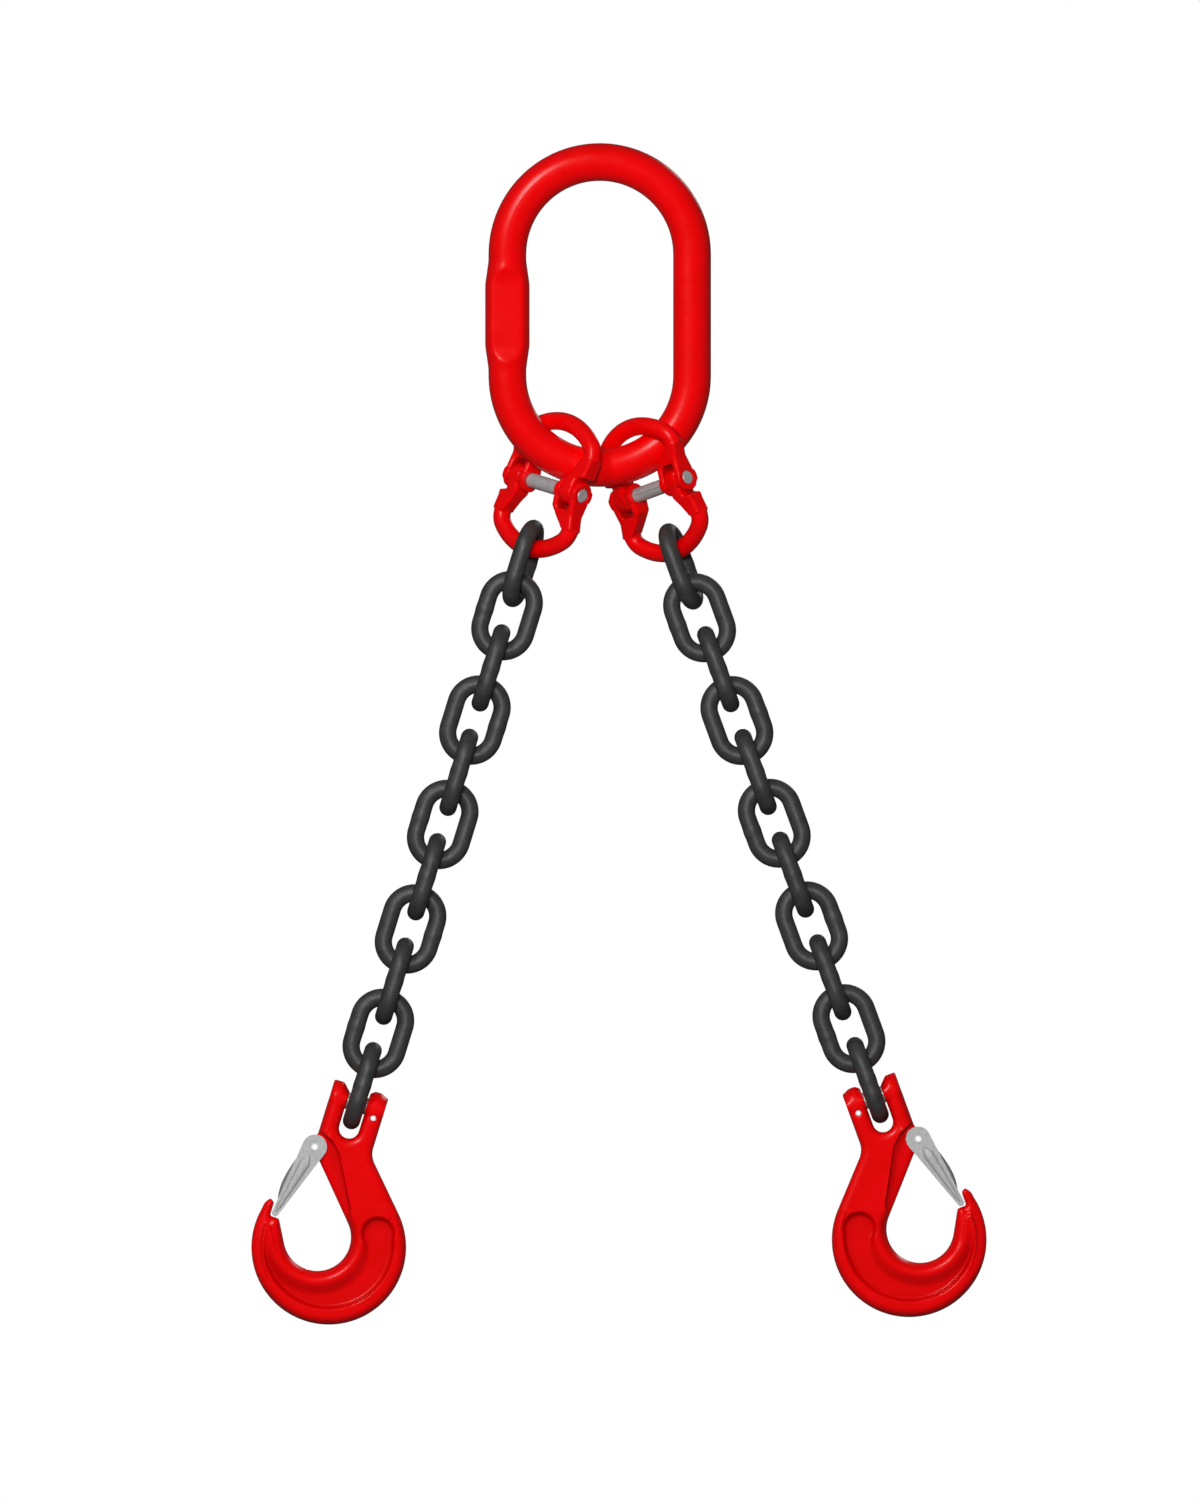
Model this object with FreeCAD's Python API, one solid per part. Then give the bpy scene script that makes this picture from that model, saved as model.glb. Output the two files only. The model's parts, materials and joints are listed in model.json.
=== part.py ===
import FreeCAD, Part
import math
import os

# Two leg chain sling, hung from its master link with the legs spread.
# Millimetres. +Z is up, the legs spread along X and the sling is thin along Y.
# The origin is the bearing point inside the top of the master link.

V = FreeCAD.Vector

# ---- driving dimensions -------------------------------------------------
# Master link
MASTER_WIRE = 27.0
MASTER_INNER_WIDTH = 104.0
MASTER_INNER_LENGTH = 190.0
FLAT_WIDTH = 31.6            # the pressed limb swells to this width
FLAT_THICKNESS = 22.6        # and is this thick between its two flats
FLAT_LENGTH = 76.0           # length of the swollen stretch
FLAT_LEVEL_LENGTH = 44.0     # length over which the swelling is full
FLAT_RUNOUT_RADIUS = 22.0    # the die's radius at each end of a flat

# Chain
CHAIN_WIRE = 13.0
CHAIN_PITCH = 39.0
CHAIN_INNER_WIDTH = 20.0
LINKS_PER_LEG = 11
FIRST_LINK_TURN = 12.0       # the first link twists this far to clear the bow
BEARING_GAP = 0.25           # between two pieces that bear on each other

# How the legs hang. lean is from vertical. seat is where the coupling bears on
# the bottom arc of the master link, as an angle from its lowest point. inward is
# how far the leg's axis passes inside the wire there. slack is the room over the
# wire in the crown of the upper bow, because the wire crosses the bow at a slant,
# and hang is how far the first link hangs off the crown of the lower bow.
LEGS = {
    "left": {
        "side": -1, "lean": 17.12, "seat": 33.7, "inward": 6.0, "slack": 4.2, "hang": 1.3,
    },
    "right": {
        "side": 1, "lean": 19.98, "seat": 31.3, "inward": 5.0, "slack": 1.75, "hang": 1.6,
    },
}

# Coupling link: two equal forged halves, each with a clevis and a tongue
COUPLING_TURN = 46.0         # its plane is turned this far out of the XZ plane
BOW_HALF_WIDTH = 36.0        # centreline of the bow
BOW_RISE = 21.0              # centreline, from where the bow springs to its crown
BOW_CORNER_RADIUS = 13.0
BOW_DEPTH = 13.0             # section in the plane of the bow
BOW_THICKNESS = 12.0         # section across the plane of the bow
SPRING_HEIGHT = 25.5         # from the pin to where the bow springs
CLEVIS_OUTSIDE = 38.5        # from the long axis to the outer face of a clevis
CHEEK = 5.5
TONGUE = 10.6
TONGUE_CLEARANCE = 0.3       # each side of the tongue
EYE_RADIUS = 9.2
SLOT_DEPTH = 12.5            # from the pin to the bottom of the clevis slot
COUPLING_PIN = 10.0
PIN_WAIST = 8.6
SLEEVE_OUTSIDE = 10.6
SLEEVE_SPLIT = 1.2
PIN_FIT = 0.05               # radial clearance of every pin
PIN_CHAMFER = 0.8
PIN_RECESS = 0.5             # how far a pin's end lies under the face of its eye
ARM_TAPER_RISE = 4.0         # from the bottom of the slot to where an arm is full width
ARM_OVERLAP = 0.5            # how far an arm runs up into the bow
ARM_INSET = 1.0              # how far an arm's edges lie inside those of the bow
CHEEK_RISE = 3.0             # from the bottom of the slot to the top of the outer cheek
INNER_CHEEK_RISE = 6.0
TONGUE_RISE = 2.0            # from the eye to where the tongue widens on the inside
SHOULDER_CLEARANCE = 1.2     # from the other half's eye to the tongue's shoulder
SHOULDER_SLOPE = 1.8         # rise of the shoulder across the other half's cheek
SHOULDER_INSET = 2.0
SLOT_CORNER_RADIUS = 2.0

# Clevis hook
CLEVIS_PIN = 12.0
EAR_LEFT = 20.0              # outer face of the ear on the latch side
EAR_BACK = 20.5              # outer face of the ear on the back
EAR_TOP = 12.0               # top of the ears over the pin
EAR_HALF_DEPTH = 12.5
EAR_LOW = -30.0              # where the round ears run into the plate of the hook
CLEVIS_SLOT_ROOM = 1.4       # the slot is this much wider than the chain's wire
CLEVIS_SLOT_UNDER = 6.7      # room in the slot under the link that hangs on the pin
HOOK_HALF_DEPTH = 12.5
NOSE_HALF_DEPTH = 8.5
HOOK_RIM_RADIUS = 5.0
BACK_BEND = (20.5, -28.0)
BACK_BEND_MIDDLE = (22.0, -33.3)
BACK_BEND_END = (25.5, -38.0)
BOWL_OUTER_CENTRE = (11.0, -103.3)
BOWL_OUTER_RADIUS = 54.9
BOWL_INNER_CENTRE = (1.1, -98.9)
BOWL_INNER_RADIUS = 23.9
NECK_CORNER = (-14.5, -45.5)
NOSE_START_ANGLE = 166.0     # where the bowl's outer circle ends, from +X
NOSE_SHOULDER = (-40.6, -84.4)
NOSE_TOP = (-38.4, -82.2)
NOSE_TOP_SLOPE = 2.0         # how far the nose falls towards the notch
NOTCH_WIDTH = 6.6
NOTCH_FLOOR = -94.2
NOSE_INNER = (-28.8, -94.2)
NOSE_TAPER_START = -12.0     # the hook is thinner from here to its nose
TAPER_TOP, TAPER_BOTTOM = -50.0, -170.0
RECESS_DEPTH = 2.0           # the crescent pressed into each face of the bowl
RECESS_OUTER_CENTRE = (9.9, -100.7)
RECESS_OUTER_RADIUS = 47.5
RECESS_INNER_CENTRE = (5.7, -100.7)
RECESS_INNER_RADIUS = 40.5
RECESS_START_ANGLE = 40.0
RECESS_END_ANGLE = -102.0
RECESS_BLUNT_ANGLE = 4.0     # its wide end is cut off at this slant
# the faces of the neck are pressed down to the latch's lug on this side of a line
POCKET_OUTLINE = [
    (-40.0, -26.6), (-18.0, -26.6), (-8.5, -30.5), (-1.0, -38.0), (7.5, -54.0),
    (17.5, -72.0), (19.5, -82.0), (10.0, -82.0), (-30.0, -50.0), (-40.0, -50.0),
]

# Latch
LATCH_PIVOT = (-19.5, -38.2)
LATCH_HEAD_RADIUS = 8.7
LATCH_END = (-32.4, -91.3)
LATCH_END_RADIUS = 2.4
LATCH_SHEET = 2.0
LATCH_CLEARANCE = 0.4        # between a cheek of the latch and the hook's lug
LUG_HALF_DEPTH = 7.0
LUG_INSET = 1.7              # the lug is this much smaller than the latch's head
LATCH_WEB_TOP = 9.0          # the latch's web starts this far under its pivot
LATCH_PIN = 5.6
LATCH_PIN_HOLE = 3.6
SPRING_WIRE = 1.2
SPRING_TURNS = 3
SPRING_LAY = 0.96            # axial step of one turn, as a share of the wire
SPRING_FIT = 0.3             # between the coil and the pin
SPRING_ROOM = 1.0            # around the coil, inside the hook's lug
SPRING_LEG = (-1.4, -9.0)
ROLL_PIN = 4.0
ROLL_PIN_WALL = 0.8
ROLL_PIN_PLACE = (14.2, -6.6)


# ---- worked-out sizes ----------------------------------------------------
master_r = MASTER_WIRE / 2
master_arc = MASTER_INNER_WIDTH / 2 + master_r
master_low_centre = V(0, 0, -(MASTER_INNER_LENGTH - MASTER_INNER_WIDTH / 2))
chain_r = CHAIN_WIRE / 2
link_arc = CHAIN_INNER_WIDTH / 2 + chain_r
link_spacing = CHAIN_PITCH - BEARING_GAP
clevis_slot_width = CHAIN_WIRE + CLEVIS_SLOT_ROOM
clevis_slot_depth = CLEVIS_PIN / 2 + CHAIN_WIRE + CLEVIS_SLOT_UNDER
bow_inner = SPRING_HEIGHT + BOW_RISE - BOW_DEPTH / 2
slot_outer = CLEVIS_OUTSIDE - CHEEK
slot_inner = slot_outer - TONGUE - 2 * TONGUE_CLEARANCE
clevis_inside = slot_inner - CHEEK
tongue_middle = (slot_outer + slot_inner) / 2


# ---- helpers -------------------------------------------------------------
def face_of(edges):
    return Part.Face(Part.Wire(edges))


def polygon(points):
    return Part.Face(Part.makePolygon(points + [points[0]]))


def arc(a, middle, b):
    return Part.Arc(a, middle, b).toShape()


def line(a, b):
    return Part.LineSegment(a, b).toShape()


def in_xz(point):
    return V(point[0], 0, point[1])


def slab(face, half_depth):
    """A face in the XZ plane made into a plate, half_depth to each side of it."""
    face = face.copy()
    face.translate(V(0, -half_depth, 0))
    return face.extrude(V(0, 2 * half_depth, 0))


def rod(radius, start, end):
    way = end.sub(start)
    return Part.makeCylinder(radius, way.Length, start, way)


def fuse(shapes):
    return shapes[0].multiFuse(shapes[1:]).removeSplitter()


def tangent_point(centre, radius, point, turn):
    """Where a line from point touches a circle in the XZ plane. turn is 1 or -1."""
    dx, dz = point[0] - centre[0], point[1] - centre[1]
    reach = math.hypot(dx, dz)
    angle = math.atan2(dz, dx) + turn * math.acos(radius / reach)
    return (centre[0] + radius * math.cos(angle), centre[1] + radius * math.sin(angle))


def on_circle(centre, radius, degrees):
    a = math.radians(degrees)
    return (centre[0] + radius * math.cos(a), centre[1] + radius * math.sin(a))


def single(shape):
    """The one solid of a shape, which must have no other."""
    if len(shape.Solids) != 1:
        raise ValueError("expected one solid, found %d" % len(shape.Solids))
    return shape.Solids[0]


# ---- round-wire links ----------------------------------------------------
def half_ring(wire_r, arc_r, centre_z, upper):
    section = Part.Face(Part.Wire(Part.makeCircle(wire_r, V(arc_r, 0, centre_z), V(0, 0, 1))))
    turn = -180 if upper else 180
    return section.revolve(V(0, 0, centre_z), V(0, 1, 0), turn)


def oblong_link(wire_r, inner_width, inner_length):
    """A round-wire link in the XZ plane, centred on the origin, long along Z."""
    arc_r = inner_width / 2 + wire_r
    half_straight = (inner_length - inner_width) / 2
    pieces = [half_ring(wire_r, arc_r, half_straight, True)]
    pieces.append(half_ring(wire_r, arc_r, -half_straight, False))
    for side in (-1, 1):
        foot = V(side * arc_r, 0, -half_straight)
        pieces.append(Part.makeCylinder(wire_r, 2 * half_straight, foot))
    return fuse(pieces)


def flat_cutter(x, half_level):
    """Takes one flat off the +Y side of a limb at x, with a rounded run-out."""
    near = FLAT_THICKNESS / 2
    far = near + FLAT_RUNOUT_RADIUS
    end = half_level + FLAT_RUNOUT_RADIUS
    reach = MASTER_WIRE
    half = math.sqrt(0.5) * FLAT_RUNOUT_RADIUS
    middle_y = far - half
    middle_z = half_level + half
    edges = [
        line(V(x - reach, near, -half_level), V(x - reach, near, half_level)),
        arc(V(x - reach, near, half_level), V(x - reach, middle_y, middle_z), V(x - reach, far, end)),
        line(V(x - reach, far, end), V(x - reach, far, -end)),
        arc(V(x - reach, far, -end), V(x - reach, middle_y, -middle_z), V(x - reach, near, -half_level)),
    ]
    return face_of(edges).extrude(V(2 * reach, 0, 0))


def master_link():
    link = oblong_link(master_r, MASTER_INNER_WIDTH, MASTER_INNER_LENGTH)
    x = -master_arc
    half, level = FLAT_LENGTH / 2, FLAT_LEVEL_LENGTH / 2
    swell = FLAT_WIDTH / 2
    profile = [V(x, 0, -half), V(x + master_r, 0, -half), V(x + swell, 0, -level)]
    profile += [V(x + swell, 0, level), V(x + master_r, 0, half), V(x, 0, half)]
    barrel = polygon(profile).revolve(V(x, 0, 0), V(0, 0, 1), 360)
    link = fuse([link, barrel])
    cutter = flat_cutter(x, level)
    link = link.cut(cutter).cut(cutter.mirror(V(0, 0, 0), V(0, 1, 0)))
    link.translate(V(0, 0, -MASTER_INNER_LENGTH / 2))
    return single(link)


def chain_link(number, top):
    """Odd links stand edge-on along Y, even links lie in the plane of the legs."""
    link = oblong_link(chain_r, CHAIN_INNER_WIDTH, CHAIN_PITCH)
    if number == 1:
        link.rotate(V(0, 0, 0), V(0, 0, 1), 90 - FIRST_LINK_TURN)
    elif number % 2:
        link.rotate(V(0, 0, 0), V(0, 0, 1), 90)
    link.translate(V(0, 0, top - CHAIN_PITCH / 2 - chain_r))
    return single(link)


# ---- coupling link -------------------------------------------------------
def bow():
    """A three-centred bow in the XZ plane: two corner arcs and one flat crown arc."""
    corner_x = BOW_HALF_WIDTH - BOW_CORNER_RADIUS
    over = BOW_RISE - BOW_CORNER_RADIUS
    drop = (corner_x ** 2 - over ** 2) / (2 * over)
    crown_r = BOW_RISE + drop
    crown_z = SPRING_HEIGHT - drop
    turn = math.degrees(math.atan2(drop, corner_x))
    ring = Part.Ellipse(V(0, 0, 0), BOW_DEPTH / 2, BOW_THICKNESS / 2).toShape()
    pieces = []
    for side in (-1, 1):
        section = Part.Face(Part.Wire(ring.copy()))
        section.translate(V(side * BOW_HALF_WIDTH, 0, SPRING_HEIGHT))
        centre = V(side * corner_x, 0, SPRING_HEIGHT)
        pieces.append(section.revolve(centre, V(0, 1, 0), -side * turn))
    section = Part.Face(Part.Wire(ring.copy()))
    section.translate(V(crown_r, 0, crown_z))
    section.rotate(V(0, 0, crown_z), V(0, 1, 0), -turn)
    pieces.append(section.revolve(V(0, 0, crown_z), V(0, 1, 0), -(180 - 2 * turn)))
    return fuse(pieces)


def arm_profile():
    """Side view of an arm: a round eye about the pin that thins towards the bow."""
    half = BOW_THICKNESS / 2
    top = SPRING_HEIGHT + ARM_OVERLAP
    waist = SLOT_DEPTH + ARM_TAPER_RISE
    right = [V(0, half, top), V(0, half, waist), V(0, EYE_RADIUS, 0)]
    left = [V(0, -EYE_RADIUS, 0), V(0, -half, waist), V(0, -half, top)]
    edges = [line(right[0], right[1]), line(right[1], right[2])]
    edges.append(arc(right[2], V(0, 0, -EYE_RADIUS), left[0]))
    edges += [line(left[0], left[1]), line(left[1], left[2]), line(left[2], right[0])]
    face = face_of(edges)
    face.translate(V(-2 * CLEVIS_OUTSIDE, 0, 0))
    return face.extrude(V(4 * CLEVIS_OUTSIDE, 0, 0))


def clevis_arm():
    top = SPRING_HEIGHT + ARM_OVERLAP
    outer = BOW_HALF_WIDTH + BOW_DEPTH / 2 - ARM_INSET
    inner = BOW_HALF_WIDTH - BOW_DEPTH / 2 + ARM_INSET
    points = [V(-inner, 0, top), V(-outer, 0, top)]
    points += [V(-CLEVIS_OUTSIDE, 0, SLOT_DEPTH + CHEEK_RISE), V(-CLEVIS_OUTSIDE, 0, -EYE_RADIUS)]
    points += [V(-clevis_inside, 0, -EYE_RADIUS), V(-clevis_inside, 0, SLOT_DEPTH)]
    points += [V(-slot_inner, 0, SLOT_DEPTH + INNER_CHEEK_RISE)]
    arm = slab(polygon(points), EYE_RADIUS).common(arm_profile())
    slot = Part.makeBox(
        slot_outer - slot_inner,
        4 * EYE_RADIUS,
        SLOT_DEPTH + 2 * EYE_RADIUS,
        V(-slot_outer, -2 * EYE_RADIUS, -2 * EYE_RADIUS),
    )
    corners = [e for e in slot.Edges if e.Vertexes[0].Z > 0 and e.Vertexes[1].Z > 0]
    along_y = [e for e in corners if abs(e.Vertexes[0].Y - e.Vertexes[1].Y) > EYE_RADIUS]
    return arm.cut(slot.makeFillet(SLOT_CORNER_RADIUS, along_y))


def tongue_arm():
    top = SPRING_HEIGHT + ARM_OVERLAP
    outer = BOW_HALF_WIDTH + BOW_DEPTH / 2 - ARM_INSET
    inner = BOW_HALF_WIDTH - BOW_DEPTH / 2 + ARM_INSET
    near, far = tongue_middle - TONGUE / 2, tongue_middle + TONGUE / 2
    shoulder = EYE_RADIUS + SHOULDER_CLEARANCE
    points = [V(inner, 0, top), V(outer, 0, top)]
    points += [V(outer - SHOULDER_INSET, 0, shoulder + SHOULDER_SLOPE), V(far, 0, shoulder)]
    points += [V(far, 0, -EYE_RADIUS), V(near, 0, -EYE_RADIUS)]
    points += [V(near, 0, EYE_RADIUS + TONGUE_RISE)]
    return slab(polygon(points), EYE_RADIUS).common(arm_profile())


def coupling_half():
    """The upper half: crown up, clevis on -X, tongue on +X, pin along X."""
    body = fuse([bow(), clevis_arm(), tongue_arm()])
    hole = COUPLING_PIN / 2 + PIN_FIT
    reach = 2 * CLEVIS_OUTSIDE
    return single(body.cut(rod(hole, V(-reach, 0, 0), V(reach, 0, 0))))


def coupling_pin():
    reach = CLEVIS_OUTSIDE - PIN_RECESS
    pin = rod(COUPLING_PIN / 2, V(-reach, 0, 0), V(reach, 0, 0))
    tips = [e for e in pin.Edges if e.Curve.TypeId == "Part::GeomCircle"]
    pin = pin.makeChamfer(PIN_CHAMFER, tips)
    half = clevis_inside
    ring = rod(COUPLING_PIN, V(-half, 0, 0), V(half, 0, 0))
    ring = ring.cut(rod(PIN_WAIST / 2, V(-half, 0, 0), V(half, 0, 0)))
    return single(pin.cut(ring))


def coupling_sleeve():
    half = clevis_inside - TONGUE_CLEARANCE
    sleeve = rod(SLEEVE_OUTSIDE / 2, V(-half, 0, 0), V(half, 0, 0))
    sleeve = sleeve.cut(rod(PIN_WAIST / 2 + PIN_FIT, V(-half, 0, 0), V(half, 0, 0)))
    split = Part.makeBox(2 * half, SLEEVE_OUTSIDE, SLEEVE_SPLIT, V(-half, 0, -SLEEVE_SPLIT / 2))
    return single(sleeve.cut(split))


# ---- hook ----------------------------------------------------------------
def hook_outline():
    outer = BOWL_OUTER_CENTRE, BOWL_OUTER_RADIUS
    inner = BOWL_INNER_CENTRE, BOWL_INNER_RADIUS
    back_touch = tangent_point(*outer, BACK_BEND_END, -1)
    shank_touch = tangent_point(*inner, NECK_CORNER, -1)
    nose_touch = tangent_point(*inner, NOSE_INNER, 1)
    nose_start = on_circle(*outer, NOSE_START_ANGLE)
    nose_wall = NOSE_INNER[0] - NOTCH_WIDTH
    nose_fall = (nose_wall, NOSE_TOP[1] - NOSE_TOP_SLOPE)
    lug = LATCH_HEAD_RADIUS - LUG_INSET
    lug_low = (LATCH_PIVOT[0], LATCH_PIVOT[1] - lug)
    lug_left = (LATCH_PIVOT[0] - lug, LATCH_PIVOT[1])
    lug_middle = on_circle(LATCH_PIVOT, lug, 225)
    ear_left, ear_back = (-EAR_LEFT, EAR_TOP), (EAR_BACK, EAR_TOP)
    neck_top = (-EAR_LEFT, LATCH_PIVOT[1] + LATCH_HEAD_RADIUS + 1)
    edges = [
        line(in_xz(ear_left), in_xz(ear_back)),
        line(in_xz(ear_back), in_xz(BACK_BEND)),
        arc(in_xz(BACK_BEND), in_xz(BACK_BEND_MIDDLE), in_xz(BACK_BEND_END)),
        line(in_xz(BACK_BEND_END), in_xz(back_touch)),
        arc(in_xz(back_touch), in_xz(on_circle(*outer, -90)), in_xz(nose_start)),
        arc(in_xz(nose_start), in_xz(NOSE_SHOULDER), in_xz(NOSE_TOP)),
        line(in_xz(NOSE_TOP), in_xz(nose_fall)),
        line(in_xz(nose_fall), in_xz((nose_wall, NOTCH_FLOOR))),
        line(in_xz((nose_wall, NOTCH_FLOOR)), in_xz(NOSE_INNER)),
        line(in_xz(NOSE_INNER), in_xz(nose_touch)),
        arc(in_xz(nose_touch), in_xz(on_circle(*inner, -90)), in_xz(shank_touch)),
        line(in_xz(shank_touch), in_xz(NECK_CORNER)),
        line(in_xz(NECK_CORNER), in_xz(lug_low)),
        arc(in_xz(lug_low), in_xz(lug_middle), in_xz(lug_left)),
        line(in_xz(lug_left), in_xz(neck_top)),
        line(in_xz(neck_top), in_xz(ear_left)),
    ]
    return face_of(edges)


def round_inner_edges(solid):
    """Rounds the rims of the hook's plate inside the bowl and along the latch side."""
    rims = []
    for edge in solid.Edges:
        place = edge.CenterOfMass
        on_face = abs(abs(place.y) - HOOK_HALF_DEPTH) < 1e-6
        inside_bowl = 18 < edge.Length < 100 and BOWL_INNER_CENTRE[1] - 15 < place.z < -60
        latch_side = edge.Length > 30 and place.x < 1 - EAR_LEFT
        if on_face and (inside_bowl or latch_side):
            rims.append(edge)
    return solid.makeFillet(HOOK_RIM_RADIUS, rims)


def outer_rim_cutter(side):
    """Rounds the outer rim of the bowl on one face, from the back to the nose."""
    centre = V(BOWL_OUTER_CENTRE[0], 0, BOWL_OUTER_CENTRE[1])
    r, deep, rim = BOWL_OUTER_RADIUS, HOOK_HALF_DEPTH, HOOK_RIM_RADIUS
    middle = rim * (1 - math.sqrt(0.5))
    a, b = V(r, deep - rim, 0), V(r - rim, deep, 0)
    edges = [arc(a, V(r - middle, deep - middle, 0), b), line(b, V(r - rim, deep + 1, 0))]
    edges += [line(V(r - rim, deep + 1, 0), V(r + 1, deep + 1, 0))]
    edges += [line(V(r + 1, deep + 1, 0), V(r + 1, deep - rim, 0)), line(V(r + 1, deep - rim, 0), a)]
    profile = face_of(edges)
    touch = tangent_point(BOWL_OUTER_CENTRE, BOWL_OUTER_RADIUS, BACK_BEND_END, -1)
    start = math.degrees(math.atan2(touch[1] - centre.z, touch[0] - centre.x))
    profile.rotate(V(0, 0, 0), V(0, 1, 0), -start)
    profile.translate(centre)
    cutter = profile.revolve(centre, V(0, 1, 0), start + 360 - NOSE_START_ANGLE)
    if side < 0:
        cutter = cutter.mirror(V(0, 0, 0), V(0, 1, 0))
    return cutter


def nose_taper():
    """Plan view of the hook: full thickness, thinner towards the nose."""
    start, tip = NOSE_TAPER_START, BOWL_OUTER_CENTRE[0] - BOWL_OUTER_RADIUS - 2
    far = BOWL_OUTER_CENTRE[0] + BOWL_OUTER_RADIUS + 2
    deep = HOOK_HALF_DEPTH + 1
    points = [V(far, -deep, 0), V(far, deep, 0), V(start, deep, 0)]
    points += [V(tip, NOSE_HALF_DEPTH, 0), V(tip, -NOSE_HALF_DEPTH, 0), V(start, -deep, 0)]
    face = polygon(points)
    face.translate(V(0, 0, TAPER_BOTTOM))
    return face.extrude(V(0, 0, TAPER_TOP - TAPER_BOTTOM))


def latch_pocket(side):
    """Thins the shank to the lug beside the latch, on one face of the hook."""
    face = polygon([in_xz(point) for point in POCKET_OUTLINE])
    face.translate(V(0, side * LUG_HALF_DEPTH, 0))
    return face.extrude(V(0, side * HOOK_HALF_DEPTH, 0))


def bowl_recess(side):
    """The crescent pressed into one face of the bowl."""
    outer = RECESS_OUTER_CENTRE, RECESS_OUTER_RADIUS
    inner = RECESS_INNER_CENTRE, RECESS_INNER_RADIUS
    middle = (RECESS_START_ANGLE + RECESS_END_ANGLE) / 2
    a = in_xz(on_circle(*outer, RECESS_START_ANGLE))
    b = in_xz(on_circle(*outer, middle))
    c = in_xz(on_circle(*outer, RECESS_END_ANGLE))
    d = in_xz(on_circle(*inner, middle))
    e = in_xz(on_circle(*inner, RECESS_START_ANGLE + RECESS_BLUNT_ANGLE))
    face = face_of([arc(a, b, c), arc(c, d, e), line(e, a)])
    face.translate(V(0, side * (HOOK_HALF_DEPTH - RECESS_DEPTH), 0))
    return face.extrude(V(0, side * 2 * RECESS_DEPTH, 0))


def ears():
    """Round bosses about the load pin, side view, over the width of the head."""
    low = EAR_LOW
    edges = [line(V(0, EAR_HALF_DEPTH, low), V(0, EAR_HALF_DEPTH, 0))]
    edges.append(arc(V(0, EAR_HALF_DEPTH, 0), V(0, 0, EAR_TOP), V(0, -EAR_HALF_DEPTH, 0)))
    edges.append(line(V(0, -EAR_HALF_DEPTH, 0), V(0, -EAR_HALF_DEPTH, low)))
    edges.append(line(V(0, -EAR_HALF_DEPTH, low), V(0, EAR_HALF_DEPTH, low)))
    face = face_of(edges)
    face.translate(V(-2 * EAR_BACK, 0, 0))
    return face.extrude(V(4 * EAR_BACK, 0, 0))


def clevis_slot():
    half = clevis_slot_width / 2
    floor = V(0, -2 * EAR_HALF_DEPTH, -clevis_slot_depth + half)
    slot = Part.makeCylinder(half, 4 * EAR_HALF_DEPTH, floor, V(0, 1, 0))
    corner = V(-half, -2 * EAR_HALF_DEPTH, floor.z)
    height = 3 * EAR_TOP - floor.z
    return fuse([slot, Part.makeBox(2 * half, 4 * EAR_HALF_DEPTH, height, corner)])


def everything_above(height):
    reach = 2 * BOWL_OUTER_RADIUS
    return Part.makeBox(2 * reach, 2 * reach, reach, V(-reach, -reach, height))


def hook_body():
    plate = round_inner_edges(slab(hook_outline(), HOOK_HALF_DEPTH))
    lower = plate.common(nose_taper())
    upper = plate.common(everything_above(TAPER_TOP))
    head_zone = everything_above(EAR_LOW)
    upper = fuse([upper.cut(head_zone), upper.common(head_zone).common(ears())])
    body = fuse([lower, upper])
    for side in (-1, 1):
        body = body.cut(outer_rim_cutter(side))
        body = body.cut(latch_pocket(side)).cut(bowl_recess(side))
    body = body.cut(clevis_slot())
    reach = V(2 * EAR_BACK, 0, 0)
    body = body.cut(rod(CLEVIS_PIN / 2 + PIN_FIT, -reach, reach))
    body = body.cut(across(ROLL_PIN_PLACE, ROLL_PIN / 2 + PIN_FIT, 2 * EAR_HALF_DEPTH))
    body = body.cut(across(LATCH_PIVOT, LATCH_PIN / 2 + PIN_FIT, 2 * HOOK_HALF_DEPTH))
    room = spring_outside() + SPRING_ROOM
    half = spring_half() + SPRING_ROOM / 2
    well = across(LATCH_PIVOT, room, half)
    gate = Part.makeBox(3 * room, 2 * half, 4 * room)
    gate.translate(V(LATCH_PIVOT[0] - 3 * room, -half, LATCH_PIVOT[1] - 3 * room))
    return single(body.cut(fuse([well, gate])))


def across(place, radius, half_depth):
    return rod(radius, V(place[0], -half_depth, place[1]), V(place[0], half_depth, place[1]))


def clevis_pin():
    left, back = PIN_RECESS - EAR_LEFT, EAR_BACK - PIN_RECESS
    pin = rod(CLEVIS_PIN / 2, V(left, 0, 0), V(back, 0, 0))
    tips = [e for e in pin.Edges if e.Curve.TypeId == "Part::GeomCircle"]
    pin = pin.makeChamfer(PIN_CHAMFER, tips)
    return single(pin.cut(across(ROLL_PIN_PLACE, ROLL_PIN / 2 + PIN_FIT, CLEVIS_PIN)))


def hollow_pin(place, outside, hole, half_length):
    return single(across(place, outside / 2, half_length).cut(across(place, hole / 2, 2 * half_length)))


def roll_pin():
    hole = ROLL_PIN - 2 * ROLL_PIN_WALL
    return hollow_pin(ROLL_PIN_PLACE, ROLL_PIN, hole, EAR_HALF_DEPTH - 2 * PIN_RECESS)


def cheek_half():
    return LUG_HALF_DEPTH + LATCH_CLEARANCE + LATCH_SHEET


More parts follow.
